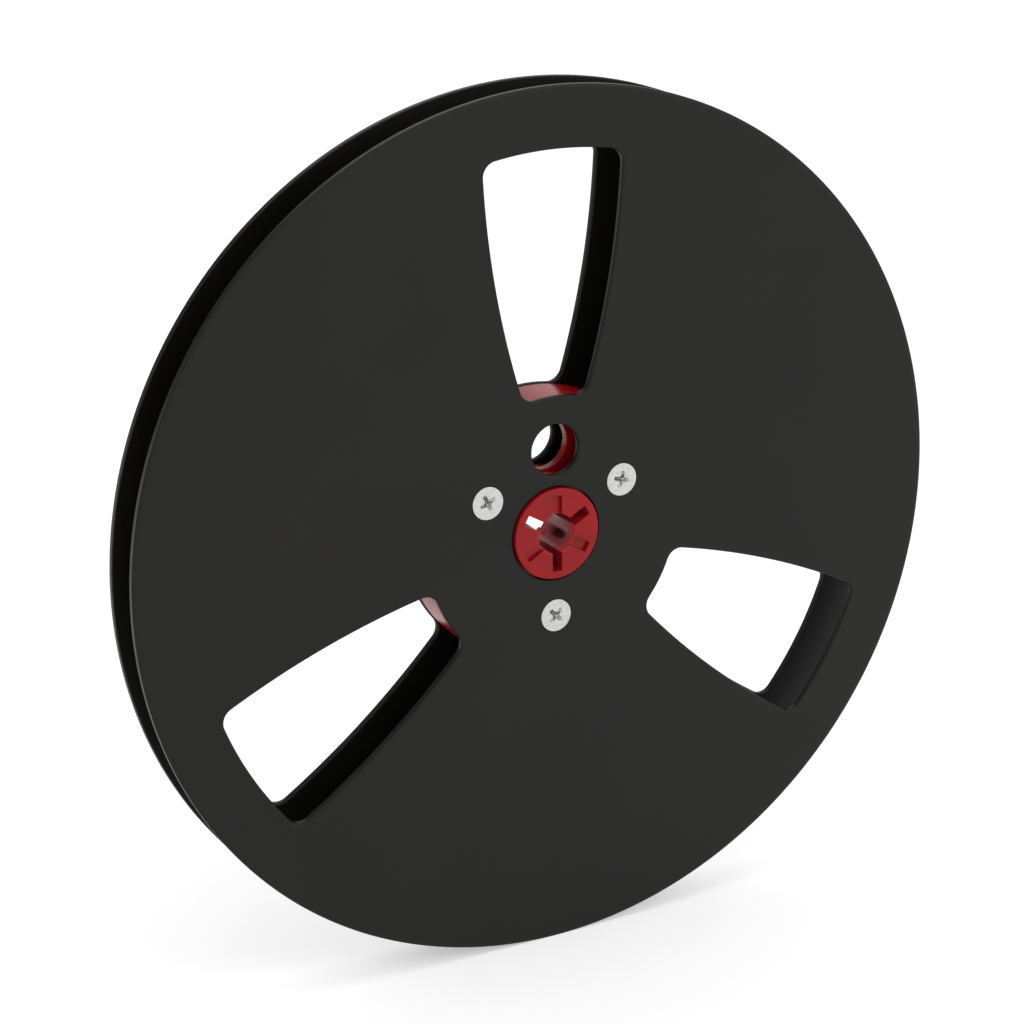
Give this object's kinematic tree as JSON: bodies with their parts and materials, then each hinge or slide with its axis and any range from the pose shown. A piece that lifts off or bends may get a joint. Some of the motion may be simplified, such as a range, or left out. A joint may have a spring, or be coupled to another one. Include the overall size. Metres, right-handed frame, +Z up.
{
  "type": "audio tape reel",
  "caption": "Open tape reel: black flanges with petal windows on a red hub that has a slotted spindle bore, held by countersunk screws.",
  "frame": {"origin": "centre of the reel: on the axis of the spindle bore, half way between the flanges", "axes": "+Y along the axis of the spindle bore, towards the rear flange; +Z up through the middle of the top window; +X to the right as seen from the front"},
  "size_m": [0.178, 0.0132, 0.178],
  "materials": {
    "flange_black": "fine matte moulded black",
    "hub_red": "satin moulded red",
    "screw_zinc": "bright zinc plate"
  },
  "bodies": {
    "root": {"front_flange": "flange_black", "rear_flange": "flange_black", "hub": "hub_red", "front_screw_right": "screw_zinc", "front_screw_left": "screw_zinc", "front_screw_bottom": "screw_zinc", "rear_screw_right": "screw_zinc", "rear_screw_left": "screw_zinc", "rear_screw_bottom": "screw_zinc"}
  },
  "joints": []
}
